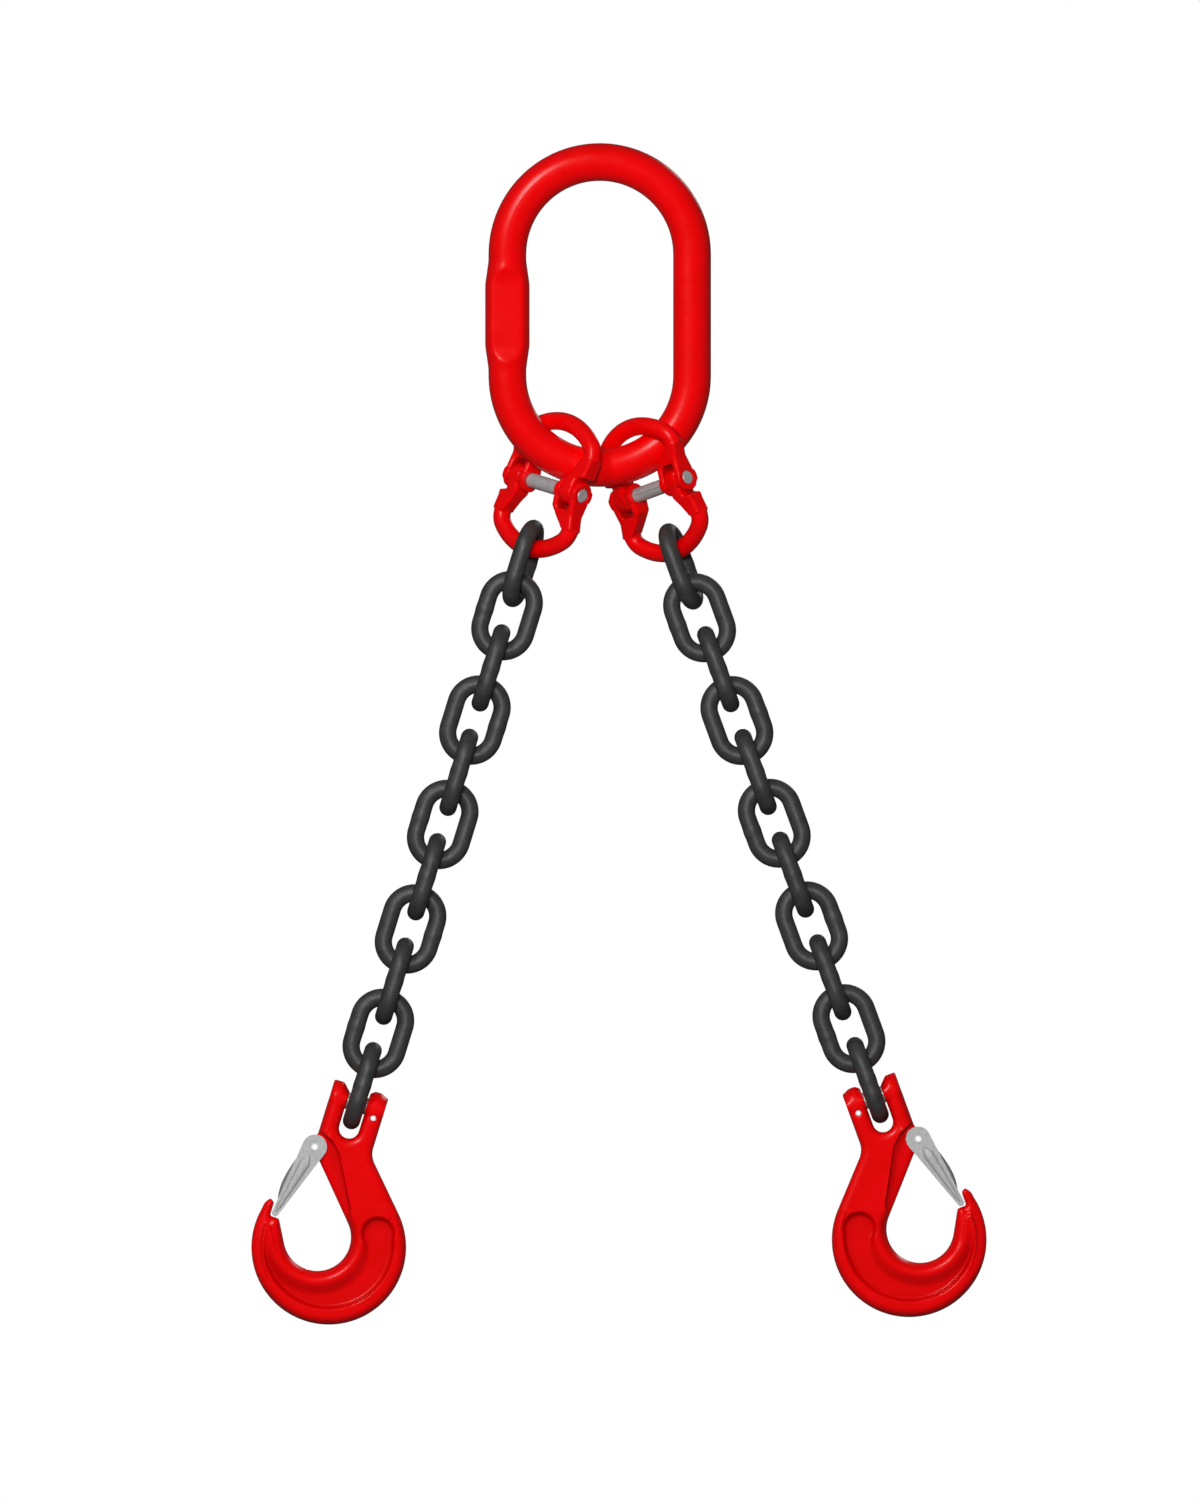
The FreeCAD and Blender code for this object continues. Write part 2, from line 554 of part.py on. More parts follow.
def latch_side_view(shift):
    """Side view of the latch, moved inward by shift: round head, slim end."""
    head = (LATCH_PIVOT[0] + shift, LATCH_PIVOT[1])
    end = (LATCH_END[0] + shift, LATCH_END[1])
    lean = math.atan2(end[1] - head[1], end[0] - head[0])
    length = math.hypot(end[0] - head[0], end[1] - head[1])
    spread = math.degrees(math.acos((LATCH_HEAD_RADIUS - LATCH_END_RADIUS) / length))
    lean = math.degrees(lean)
    a = on_circle(head, LATCH_HEAD_RADIUS, lean + spread)
    b = on_circle(end, LATCH_END_RADIUS, lean + spread)
    c = on_circle(end, LATCH_END_RADIUS, lean)
    d = on_circle(end, LATCH_END_RADIUS, lean - spread)
    e = on_circle(head, LATCH_HEAD_RADIUS, lean - spread)
    f = on_circle(head, LATCH_HEAD_RADIUS, lean + 180)
    edges = [line(in_xz(a), in_xz(b)), arc(in_xz(b), in_xz(c), in_xz(d))]
    edges += [line(in_xz(d), in_xz(e)), arc(in_xz(e), in_xz(f), in_xz(a))]
    return face_of(edges)


def latch():
    outside = slab(latch_side_view(0), cheek_half())
    inside = slab(latch_side_view(LATCH_SHEET), cheek_half() - LATCH_SHEET)
    hollow = [inside]
    for step in range(1, 5):
        more = inside.copy()
        more.translate(V(step * 2 * LATCH_SHEET, 0, 0))
        hollow.append(more)
    half = cheek_half() - LATCH_SHEET
    reach = 3 * LATCH_HEAD_RADIUS
    hollow.append(across(LATCH_PIVOT, LATCH_HEAD_RADIUS + LATCH_SHEET, half))
    top = Part.makeBox(2 * reach, 2 * half, reach)
    top.translate(V(LATCH_PIVOT[0] - reach, -half, LATCH_PIVOT[1] - LATCH_WEB_TOP))
    hollow.append(top)
    body = outside.cut(fuse(hollow))
    return single(body.cut(across(LATCH_PIVOT, LATCH_PIN / 2 + PIN_FIT, 2 * cheek_half())))


def latch_pin():
    return hollow_pin(LATCH_PIVOT, LATCH_PIN, LATCH_PIN_HOLE, cheek_half() + PIN_RECESS)


def spring_outside():
    return LATCH_PIN / 2 + SPRING_FIT + SPRING_WIRE


def spring_half():
    return SPRING_TURNS * SPRING_WIRE / 2


def latch_spring():
    """A close-wound torsion coil about the latch pin, with one leg on the latch's web."""
    coil_r = spring_outside() - SPRING_WIRE / 2
    wire_r = SPRING_WIRE / 2
    turns = []
    for turn in range(SPRING_TURNS):
        y = (turn - (SPRING_TURNS - 1) / 2) * SPRING_WIRE * SPRING_LAY
        ring = Part.makeTorus(coil_r, wire_r, V(LATCH_PIVOT[0], y, LATCH_PIVOT[1]), V(0, 1, 0))
        turns.append(ring)
    start = V(LATCH_PIVOT[0] - coil_r, 0, LATCH_PIVOT[1])
    turns.append(rod(wire_r, start, start + in_xz(SPRING_LEG)))
    return single(fuse(turns))


# ---- assembly ------------------------------------------------------------
def save(name, shape):
    if len(shape.Solids) != 1 or not shape.isValid():
        raise ValueError(name + " is not one sound solid")
    shape.exportStep("parts/" + name + ".step")


def build_leg(name, leg):
    """Makes a leg hanging straight down from its coupling pin, then leans it."""
    lean = math.radians(leg["lean"])
    seat = math.radians(leg["seat"])
    side = leg["side"]
    turn_over = 180 if side > 0 else 0

    upper = coupling_half()
    lower = coupling_half()
    lower.rotate(V(0, 0, 0), V(0, 1, 0), 180)
    coupling = {
        "coupling_upper_half": upper,
        "coupling_lower_half": lower,
        "coupling_load_pin": coupling_pin(),
        "coupling_sleeve": coupling_sleeve(),
    }
    for shape in coupling.values():
        shape.rotate(V(0, 0, 0), V(0, 0, 1), turn_over - COUPLING_TURN)

    first_top = -(bow_inner - chain_r - leg["hang"])
    pieces = dict(coupling)
    for number in range(1, LINKS_PER_LEG + 1):
        top = first_top - (number - 1) * link_spacing
        pieces["chain_link_%02d" % number] = chain_link(number, top)
    last_bottom = first_top - (LINKS_PER_LEG - 1) * link_spacing - CHAIN_PITCH - CHAIN_WIRE
    pin_height = last_bottom + chain_r + CLEVIS_PIN / 2 + BEARING_GAP

    hook = {
        "hook_body": hook_body(),
        "hook_load_pin": clevis_pin(),
        "hook_roll_pin": roll_pin(),
        "latch": latch(),
        "latch_pin": latch_pin(),
        "latch_spring": latch_spring(),
    }
    for piece, shape in hook.items():
        shape.rotate(V(0, 0, 0), V(0, 0, 1), turn_over)
        shape.translate(V(0, 0, pin_height))
        pieces[piece] = shape

    up = V(-side * math.sin(lean), 0, math.cos(lean))
    seat_point = master_low_centre + V(side * math.sin(seat), 0, -math.cos(seat)) * master_arc
    inward = V(-side * math.cos(lean), 0, -math.sin(lean)) * leg["inward"]
    pin_middle = seat_point + inward - up * (bow_inner - master_r - leg["slack"])
    for piece, shape in pieces.items():
        shape.rotate(V(0, 0, 0), V(0, 1, 0), -side * leg["lean"])
        shape.translate(pin_middle)
        save(name + "_" + piece, shape)


os.makedirs("parts", exist_ok=True)
save("master_link", master_link())
for leg_name, leg_data in LEGS.items():
    build_leg(leg_name, leg_data)
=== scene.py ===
import json
import math

import bmesh
import bpy
import numpy as np
from mathutils import Matrix, Vector
from mathutils.kdtree import KDTree

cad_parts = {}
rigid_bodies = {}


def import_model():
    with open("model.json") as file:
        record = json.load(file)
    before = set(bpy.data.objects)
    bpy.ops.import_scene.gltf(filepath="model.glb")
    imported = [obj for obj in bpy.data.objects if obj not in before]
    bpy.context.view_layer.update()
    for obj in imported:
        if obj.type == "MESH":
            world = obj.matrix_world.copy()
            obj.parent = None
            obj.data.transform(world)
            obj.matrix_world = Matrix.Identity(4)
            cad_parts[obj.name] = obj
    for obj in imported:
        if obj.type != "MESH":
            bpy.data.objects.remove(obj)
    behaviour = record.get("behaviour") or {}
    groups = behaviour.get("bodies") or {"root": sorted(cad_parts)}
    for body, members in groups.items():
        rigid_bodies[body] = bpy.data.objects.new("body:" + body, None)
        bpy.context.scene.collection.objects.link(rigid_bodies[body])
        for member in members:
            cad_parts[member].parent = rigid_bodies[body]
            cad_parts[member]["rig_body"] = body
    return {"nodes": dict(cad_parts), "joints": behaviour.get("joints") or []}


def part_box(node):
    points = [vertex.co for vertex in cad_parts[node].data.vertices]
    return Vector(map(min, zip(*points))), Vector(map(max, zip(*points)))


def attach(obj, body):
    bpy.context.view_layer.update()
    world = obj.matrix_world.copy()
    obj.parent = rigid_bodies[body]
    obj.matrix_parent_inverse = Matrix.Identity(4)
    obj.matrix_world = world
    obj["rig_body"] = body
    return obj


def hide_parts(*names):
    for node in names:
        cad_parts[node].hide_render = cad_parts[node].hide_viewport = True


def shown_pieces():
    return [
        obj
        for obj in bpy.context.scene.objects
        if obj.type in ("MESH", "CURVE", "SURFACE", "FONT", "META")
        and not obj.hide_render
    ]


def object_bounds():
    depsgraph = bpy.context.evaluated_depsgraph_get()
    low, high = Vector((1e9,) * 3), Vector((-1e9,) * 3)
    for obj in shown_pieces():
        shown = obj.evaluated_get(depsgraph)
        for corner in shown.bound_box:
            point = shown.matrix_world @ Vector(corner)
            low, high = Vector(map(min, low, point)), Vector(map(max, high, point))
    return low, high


# Two leg chain sling: forged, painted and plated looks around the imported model.
# Metres, in the model's own frame: +Z is up and the sling faces -Y.

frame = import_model()
cad_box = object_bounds()

MM = 0.001
SIDES = {"left": -1, "right": 1}
LINKS_PER_LEG = 11

# Chain, as in the model
CHAIN_WIRE = 13 * MM
CHAIN_PITCH = 39 * MM
CHAIN_INNER_WIDTH = 20 * MM
LINK_RING_STEPS = 40         # points round the wire
LINK_CROWN_STEPS = 36        # rings round each half turn
LINK_SIDE_STEPS = 20         # rings along each straight side
WELD_SWELL = 0.28 * MM       # the upset of the weld on one side of each link
WELD_LENGTH = 4.2 * MM

# Forged pieces: the size of their mesh, and how many smoothing passes soften it
FORGING = {
    "master_link": (1.1 * MM, 8),
    "hook_body": (0.75 * MM, 6),
    "coupling_half": (0.6 * MM, 5),
}
HOOK_LAST_PASSES = 4         # smoothing after the forged details are in
COUPLING_LAST_PASSES = 3
WELD_REACH = 0.002 * MM      # points nearer than this are one


# ---- where the legs are -----------------------------------------------------
joints = {joint["name"]: joint for joint in frame["joints"]}


def joint_place(name):
    return Vector(joints[name]["pos_m"])


def joint_axis(name):
    return Vector(joints[name]["axis"]).normalized()


def axes_at(origin, x_axis, y_axis, z_axis):
    """The matrix that puts a piece's own X, Y and Z along three axes."""
    turned = Matrix((x_axis, y_axis, z_axis)).transposed()
    return Matrix.Translation(origin) @ turned.to_4x4()


def leg_up(side):
    top = joint_place(side + "_coupling_hinge")
    return (top - joint_place(side + "_hook_swing")).normalized()


def hook_axes(side):
    """The hook's own axes: Z along the leg, and the latch towards -X."""
    up = leg_up(side)
    across = Vector((0, -SIDES[side], 0))
    return axes_at(joint_place(side + "_hook_swing"), across.cross(up), across, up)


# ---- materials --------------------------------------------------------------
RAMP_STOPS = (0.3, 0.7)      # most noise lies between these
PAINTED_CORNER_SHADE_REACH = 20 * MM  # painted shade: paint is darkened in corners, where shade falls, up to this wide


def new_material(name):
    material = bpy.data.materials.new(name)
    material.use_nodes = True
    return material, material.node_tree.nodes, material.node_tree.links


def noise(material, per_metre, detail=3.0, stretch=(1, 1, 1)):
    """Noise in the piece's own coordinates, with per_metre features to the metre."""
    nodes, links = material.node_tree.nodes, material.node_tree.links
    place = nodes.new("ShaderNodeTexCoord")
    sized = nodes.new("ShaderNodeMapping")
    sized.inputs["Scale"].default_value = stretch
    texture = nodes.new("ShaderNodeTexNoise")
    texture.inputs["Scale"].default_value = per_metre
    texture.inputs["Detail"].default_value = detail
    links.new(place.outputs["Object"], sized.inputs["Vector"])
    links.new(sized.outputs["Vector"], texture.inputs["Vector"])
    return texture.outputs["Fac"]


def grey(level):
    return (level, level, level)


def ramp(material, value, low, high):
    """Turns noise into a colour from low to high."""
    nodes, links = material.node_tree.nodes, material.node_tree.links
    made = nodes.new("ShaderNodeValToRGB")
    for stop, colour, place in zip(made.color_ramp.elements, (low, high), RAMP_STOPS):
        stop.color = (*colour, 1)
        stop.position = place
    links.new(value, made.inputs["Fac"])
    return made.outputs["Color"]


def bump(material, layers):
    """One normal from several (height, depth in metres) layers."""
    nodes, links = material.node_tree.nodes, material.node_tree.links
    shader = nodes["Principled BSDF"]
    normal = None
    for height, depth in layers:
        made = nodes.new("ShaderNodeBump")
        made.inputs["Distance"].default_value = depth
        links.new(height, made.inputs["Height"])
        if normal is not None:
            links.new(normal, made.inputs["Normal"])
        normal = made.outputs["Normal"]
    links.new(normal, shader.inputs["Normal"])


def red_paint():
    material, nodes, links = new_material("red_gloss_paint")
    shader = nodes["Principled BSDF"]
    patches = noise(material, per_metre=55)
    shade = ramp(material, patches, (0.86, 0.0, 0.0), (0.93, 0.0, 0.002))
    # painted shade: ambient occlusion darkens the base colour in corners and hollows, where
    # shade falls
    corners = nodes.new("ShaderNodeAmbientOcclusion")
    corners.only_local = True
    corners.inputs["Distance"].default_value = PAINTED_CORNER_SHADE_REACH
    links.new(shade, corners.inputs["Color"])
    links.new(corners.outputs["Color"], shader.inputs["Base Color"])
    rough = ramp(material, noise(material, per_metre=140, detail=4), grey(0.30), grey(0.40))
    links.new(rough, shader.inputs["Roughness"])
    shader.inputs["Specular IOR Level"].default_value = 0.35
    shader.inputs["Coat Weight"].default_value = 0.35
    shader.inputs["Coat Roughness"].default_value = 0.22
    forging = noise(material, per_metre=95, detail=2)
    orange_peel = noise(material, per_metre=800, detail=2)
    bump(material, [(forging, 0.3 * MM), (orange_peel, 0.015 * MM)])
    return material


def chain_black():
    material, nodes, links = new_material("satin_black_chain")
    shader = nodes["Principled BSDF"]
    shade = ramp(material, noise(material, per_metre=160, detail=5), grey(0.030), grey(0.046))
    links.new(shade, shader.inputs["Base Color"])
    rough = ramp(material, noise(material, per_metre=420, detail=5), grey(0.42), grey(0.52))
    links.new(rough, shader.inputs["Roughness"])
    shader.inputs["Metallic"].default_value = 0.25
    shader.inputs["Specular IOR Level"].default_value = 0.5
    scale_marks = noise(material, per_metre=300, detail=6)
    grain = noise(material, per_metre=1500, detail=3)
    bump(material, [(scale_marks, 0.12 * MM), (grain, 0.03 * MM)])
    return material


def pin_steel():
    material, nodes, links = new_material("ground_steel")
    shader = nodes["Principled BSDF"]
    shade = ramp(material, noise(material, per_metre=260, detail=4), grey(0.34), grey(0.42))
    links.new(shade, shader.inputs["Base Color"])
    rough = ramp(material, noise(material, per_metre=900, detail=3), grey(0.30), grey(0.44))
    links.new(rough, shader.inputs["Roughness"])
    shader.inputs["Metallic"].default_value = 0.35
    grinding = noise(material, per_metre=1400, detail=2)
    bump(material, [(grinding, 0.02 * MM)])
    return material


def latch_zinc():
    material, nodes, links = new_material("zinc_plate")
    shader = nodes["Principled BSDF"]
    brushed = noise(material, per_metre=240, detail=5, stretch=(6, 1, 1))
    shade = ramp(material, brushed, grey(0.27), grey(0.33))
    links.new(shade, shader.inputs["Base Color"])
    rough = ramp(material, noise(material, per_metre=500, detail=4), grey(0.38), grey(0.52))
    links.new(rough, shader.inputs["Roughness"])
    shader.inputs["Metallic"].default_value = 0.3
    bump(material, [(brushed, 0.05 * MM)])
    return material


MATERIALS = {
    "red_paint": red_paint(),
    "chain_black": chain_black(),
    "pin_steel": pin_steel(),
    "latch_zinc": latch_zinc(),
}


def finish_of(node):
    """The record's material slot that a CAD node belongs to."""
    if "chain_link" in node:
        return "chain_black"
    if node == "master_link" or node.endswith(("half", "hook_body")):
        return "red_paint"
    if node.endswith("_latch"):
        return "latch_zinc"
    return "pin_steel"


def dress(piece, slot_name):
    piece.data.materials.clear()
    piece.data.materials.append(MATERIALS[slot_name])
    for face in piece.data.polygons:
        face.use_smooth = True


def body_of(node):
    return frame["nodes"][node]["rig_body"]


# ---- CAD nodes that keep their shape ----------------------------------------
SHARP_EDGE = math.radians(35)

for name, node in frame["nodes"].items():
    dress(node, finish_of(name))
    edges = node.modifiers.new("edges", "EDGE_SPLIT")
    edges.split_angle = SHARP_EDGE


# ---- forged pieces -----------------------------------------------------------
def applied(piece):
    """The piece's mesh with its modifiers applied."""
    shown = piece.evaluated_get(bpy.context.evaluated_depsgraph_get())
    mesh = bpy.data.meshes.new_from_object(shown)
    piece.modifiers.clear()
    piece.data = mesh
    return piece


def smoothed(piece, passes):
    smooth = piece.modifiers.new("smooth", "SMOOTH")
    smooth.factor = 0.5
    smooth.iterations = passes
    return applied(piece)


def skinned(node, voxel, passes):
    """A node's shape as one fine even skin, with every edge a little softened."""
    piece = bpy.data.objects.new(node + "_forging", frame["nodes"][node].data.copy())
    bpy.context.scene.collection.objects.link(piece)
    weld = piece.modifiers.new("weld", "WELD")
    weld.merge_threshold = WELD_REACH
    remesh = piece.modifiers.new("remesh", "REMESH")
    remesh.mode = "VOXEL"
    remesh.voxel_size = voxel
    return smoothed(piece, passes)


def stand_for(piece, node, slot_name):
    """Paints a finished piece, puts it on its body and hides the CAD node."""
    dress(piece, slot_name)
    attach(piece, body_of(node))
    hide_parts(node)


def points_in(piece, axes):
    """The piece's points and normals in millimetres along its own axes."""
    count = len(piece.data.vertices)
    points, normals = np.zeros(count * 3), np.zeros(count * 3)
    piece.data.vertices.foreach_get("co", points)
    piece.data.vertices.foreach_get("normal", normals)
    turn = np.array(axes.to_3x3())
    origin = np.array(axes.translation)
    return (points.reshape(-1, 3) - origin) @ turn / MM, normals.reshape(-1, 3) @ turn


def put_points(piece, axes, points):
    turn = np.array(axes.to_3x3())
    placed = (points * MM) @ turn.T + np.array(axes.translation)
    piece.data.vertices.foreach_set("co", placed.ravel())
    piece.data.update()


def step(low, high, value):
    """0 below low, 1 above high and smooth between. low may be the larger."""
    share = np.clip((value - low) / (high - low), 0, 1)
    return share * share * (3 - 2 * share)


MIDDLE_BAND = 1.5            # walls are looked for this near the middle plane, in mm
WALL_FACING = 0.35           # a wall's normal has less than this share along Y
BORE_FACING = 0.5            # and a bore's has less than this along X


def from_walls(points, normals, holes, bore):
    """How far each point lies from the nearest wall of the forging's outline.

    holes are cross holes to ignore, as X, Z and reach. bore is the reach of the
    load pin's bore, which runs along X and is ignored too."""
    x, y, z = points.T
    wall = (abs(y) < MIDDLE_BAND) & (abs(normals[:, 1]) < WALL_FACING)
    wall &= ~((abs(z) < bore) & (abs(normals[:, 0]) < BORE_FACING))
    for hole_x, hole_z, reach in holes:
        wall &= np.hypot(x - hole_x, z - hole_z) > reach
    places = np.flatnonzero(wall)
    tree = KDTree(len(places))
    for number, place in enumerate(places):
        tree.insert((x[place], 0, z[place]), number)
    tree.balance()
    return np.array([tree.find((a, 0, b))[2] for a, b in zip(x, z)])


def rolled(distance, reach, land):
    """Thickness near an edge as a share: land at the edge, 1 from reach inwards."""
    share = np.clip(distance / reach, 0, 1)
    return land + (1 - land) * np.sqrt(1 - (1 - share) ** 2)


# Hook, in millimetres along its own axes. A circle is its X, Z and radius, and a
# pair is the two places between which something fades in.
HOOK_HALF_DEPTH = 12.5
HOOK_ROLL = 6.5              # how far its rolled edges reach inwards
HOOK_LAND = 0.58             # thickness at the edge, as a share
LATCH_PLACE = (-19.5, -38.2)
LATCH_PIN_HOLE = (*LATCH_PLACE, 5.5)
ROLL_PIN_HOLE = (14.2, -6.6, 4.0)
CLEVIS_BORE = 6.8

BOWL = (1.1, -98.9, 23.9)    # the inside of the bowl
BOWL_ROLL = 10.0
BOWL_LAND = 0.42
BOWL_ROLL_Z = (-76, -88)

RECESS = (9.9, -100.7, 47.5)  # the outer edge of the recess on each face
RECESS_END = (41.6, -84.0, 12.8)  # the round end at its top
RECESS_INNER = 31.5          # from the middle of the bowl to its inner edge
RECESS_SINK = 0.4            # share of the thickness that it takes away
RECESS_WALL = 3.4            # width of its outer wall
RECESS_SLOPE = 3.0           # width of its inner slope at the top
RECESS_SLOPE_GROWTH = 7.0    # and how much wider that is at the bottom
RECESS_SLOPE_Z = (-80, -112)
RECESS_NOSE_X = (-38, -26)

# the model's own plain recess is filled in here
FILL_ABOVE = 8.0             # from the middle plane
FILL_INSIDE = 7.0            # from the edge
FILL_BELOW = -66
FILL_FACING = 0.3            # share of the normal along Y

RIDGE = [(-11.6, -28.4), (-1.9, -38.5), (6.7, -54.0), (12.6, -63.5), (16.8, -71.8)]
RIDGE_WIDTH = 1.3
RIDGE_RISE = 1.1
RIDGE_Y = (4, 8)

# how far each part of an ear's top falls, and the two X between which it does
EAR_SLOPES = [(5.0, -13.5, -7.0), (2.2, 14.0, 20.5), (2.0, 11.0, 7.0)]
EAR_SLOPE_Z = (3, 12)


def near_line(x, z, line):
    """The distance from points to a line through several places."""
    nearest = np.full(len(x), np.inf)
    for (ax, az), (bx, bz) in zip(line, line[1:]):
        run_x, run_z = bx - ax, bz - az
        along = ((x - ax) * run_x + (z - az) * run_z) / (run_x**2 + run_z**2)
        along = np.clip(along, 0, 1)
        away = np.hypot(x - ax - along * run_x, z - az - along * run_z)
        nearest = np.minimum(nearest, away)
    return nearest


def inside_circle(x, z, circle):
    """How far points lie inside a circle in the XZ plane."""
    return circle[2] - np.hypot(x - circle[0], z - circle[1])


def recess_depth(x, z):
    """How deep each point lies in the crescent recess, from 0 to 1."""
    from_bowl = np.hypot(x - BOWL[0], z - BOWL[1])
    slope = RECESS_SLOPE + RECESS_SLOPE_GROWTH * step(*RECESS_SLOPE_Z, z)
    sunk = step(0, 1, (from_bowl - RECESS_INNER) / slope)
    sunk *= step(0, RECESS_WALL, inside_circle(x, z, RECESS))
    end = step(0, RECESS_WALL, inside_circle(x, z, RECESS_END))
    sunk = np.where(z > RECESS_END[1], end, np.maximum(sunk, end))
    return sunk * step(*RECESS_NOSE_X, x)


def sculpt_hook(piece, axes):
    points, normals = points_in(piece, axes)
    edge = from_walls(points, normals, [ROLL_PIN_HOLE, LATCH_PIN_HOLE], CLEVIS_BORE)
    x, y, z = points.T
    fill = (abs(y) > FILL_ABOVE) & (edge > FILL_INSIDE) & (z < FILL_BELOW)
    fill &= abs(normals[:, 1]) > FILL_FACING
    y = np.where(fill, np.sign(y) * HOOK_HALF_DEPTH, y)
    thickness = rolled(edge, HOOK_ROLL, HOOK_LAND)
    # the inside of the bowl is rolled rounder, and falls away into the recess
    bowl_roll = rolled(-inside_circle(x, z, BOWL), BOWL_ROLL, BOWL_LAND)
    thickness *= 1 - step(*BOWL_ROLL_Z, z) * (1 - bowl_roll)
    thickness *= 1 - RECESS_SINK * recess_depth(x, z)
    # the ridge that stands beside the latch's pocket
    ridge = np.exp(-((near_line(x, z, RIDGE) / RIDGE_WIDTH) ** 2)) * step(*RIDGE_Y, abs(y))
    points[:, 1] = y * thickness + np.sign(y) * RIDGE_RISE * ridge
    # the tops of the ears slope down to the slot and to the back
    fall = sum(drop * step(a, b, x) * (x * a > 0) for drop, a, b in EAR_SLOPES)
    points[:, 2] = z - fall * step(*EAR_SLOPE_Z, z)
    put_points(piece, axes, points)


COUPLING_BORE = 5.8          # reach of the load pin's bore, in mm
COUPLING_ROLL = 3.0
COUPLING_LAND = 0.74


def sculpt_coupling(piece, axes):
    points, normals = points_in(piece, axes)
    edge = from_walls(points, normals, [], COUPLING_BORE)
    points[:, 1] *= rolled(edge, COUPLING_ROLL, COUPLING_LAND)
    put_points(piece, axes, points)


def coupling_axes(side):
    """The coupling's own axes: X along the load pin, Z along the leg."""
    across = joint_axis(side + "_coupling_hinge")
    up = leg_up(side)
    return axes_at(joint_place(side + "_coupling_hinge"), across, up.cross(across), up)


master = skinned("master_link", *FORGING["master_link"])
stand_for(master, "master_link", "red_paint")
for side in SIDES:
    hook = skinned(side + "_hook_body", *FORGING["hook_body"])
    sculpt_hook(hook, hook_axes(side))
    smoothed(hook, HOOK_LAST_PASSES)
    stand_for(hook, side + "_hook_body", "red_paint")
    for half in ("_coupling_upper_half", "_coupling_lower_half"):
        arm = skinned(side + half, *FORGING["coupling_half"])
        sculpt_coupling(arm, coupling_axes(side))
        smoothed(arm, COUPLING_LAST_PASSES)
        stand_for(arm, side + half, "red_paint")


# ---- latch --------------------------------------------------------------------
# Millimetres along the hook's own axes. A share is of the way from pin to tip.
LATCH_PIVOT = Vector((LATCH_PLACE[0], 0, LATCH_PLACE[1]))
LATCH_TIP = Vector((-32.4, 0, -91.3))
LATCH_LENGTH = (LATCH_TIP - LATCH_PIVOT).length
LATCH_ALONG = (LATCH_TIP - LATCH_PIVOT).normalized()
LATCH_OUT = Vector((LATCH_ALONG.z, 0, -LATCH_ALONG.x))
LATCH_HEAD = 8.7             # half width of the latch at the pin
LATCH_FACE = 9.4             # outer face of each cheek
SECTIONS = 48                # along each rib and spine

RIB_START, RIB_RUN = 0.13, 0.85  # where it starts and how long it is, as shares
RIB_HEAD, RIB_TIP = 4.6, 1.2  # half its width at each end
RIB_HEAD_BLUNT, RIB_HEAD_SPREAD = 0.15, 6
RIB_TIP_BLUNT, RIB_TIP_SPREAD = 0.3, 9
RIB_HEAD_RAMP, RIB_TIP_RAMP = 6, 8
RIB_RISE = 0.28
RIB_LIFT = 0.02              # its ends stand this far out of the cheek
RIB_FOOT = 0.3               # and its foot this far inside
RIB_BROW, RIB_CREST = 0.95, 0.45  # where its sides start and end, across its half width

SPINE_START, SPINE_RUN = 0.16, 0.70
SPINE_TIP = 2.2              # half width of the latch at the tip
SPINE_BULGE = 3.4            # how far the pressed spine stands out of the cheeks
SPINE_SKEW = 1.4             # puts the fullest place nearer to the tip
SPINE_FULLNESS = 0.7
SPINE_SINK = 2.0             # its edges start this far inside the latch's edge
SPINE_RISE = 1.0             # what its arch adds at either end
SPINE_HALF_WIDTH = 7.0
SPINE_SHEET = 1.6
SPINE_ARC_STEPS = 12


def from_sections(name, sections, axes):
    """A closed skin over rings of points, each ring with as many points."""
    shape = bmesh.new()
    rings = [[shape.verts.new(axes @ (Vector(p) * MM)) for p in ring] for ring in sections]
    for ring, following in zip(rings, rings[1:]):
        for a in range(len(ring)):
            b = (a + 1) % len(ring)
            shape.faces.new((ring[a], ring[b], following[b], following[a]))
    shape.faces.new(rings[0])
    shape.faces.new(list(reversed(rings[-1])))
    bmesh.ops.recalc_face_normals(shape, faces=shape.faces)
    mesh = bpy.data.meshes.new(name)
    shape.to_mesh(mesh)
    shape.free()
    piece = bpy.data.objects.new(name, mesh)
    bpy.context.scene.collection.objects.link(piece)
    return piece


def latch_rib(side, face):
    """The wedge pressed out of a cheek, from under the pin to the tip."""
    sections = []
    for number in range(SECTIONS + 1):
        share = number / SECTIONS
        left = 1 - share
        place = LATCH_PIVOT + LATCH_ALONG * (LATCH_LENGTH * (RIB_START + RIB_RUN * share))
        half = RIB_HEAD * left + RIB_TIP * share
        head_end = RIB_HEAD_BLUNT + RIB_HEAD_SPREAD * share
        tip_end = RIB_TIP_BLUNT + RIB_TIP_SPREAD * left
        half *= min(1.0, head_end, tip_end)
        rise = RIB_RISE * min(1.0, RIB_HEAD_RAMP * share, RIB_TIP_RAMP * left) + RIB_LIFT
        low, high = LATCH_FACE - RIB_FOOT, LATCH_FACE + rise
        profile = [(-1, low), (-RIB_BROW, LATCH_FACE), (-RIB_CREST, high)]
        profile += [(RIB_CREST, high), (RIB_BROW, LATCH_FACE), (1, low)]
        ring = []
        for width, depth in profile:
            ring.append(place + LATCH_OUT * (half * width) + Vector((0, face * depth, 0)))
        sections.append(ring)
    name = f"{side}_latch_rib_{'front' if face < 0 else 'back'}"
    return from_sections(name, sections, hook_axes(side))


def spine_arc(place, edge, height, half_width):
    """Points over the arch of the spine, from the front cheek to the back one."""
    points = []
    for number in range(SPINE_ARC_STEPS + 1):
        angle = math.pi * number / SPINE_ARC_STEPS
        out = LATCH_OUT * (edge + height * math.sin(angle))
        points.append(place + out + Vector((0, -half_width * math.cos(angle), 0)))
    return points


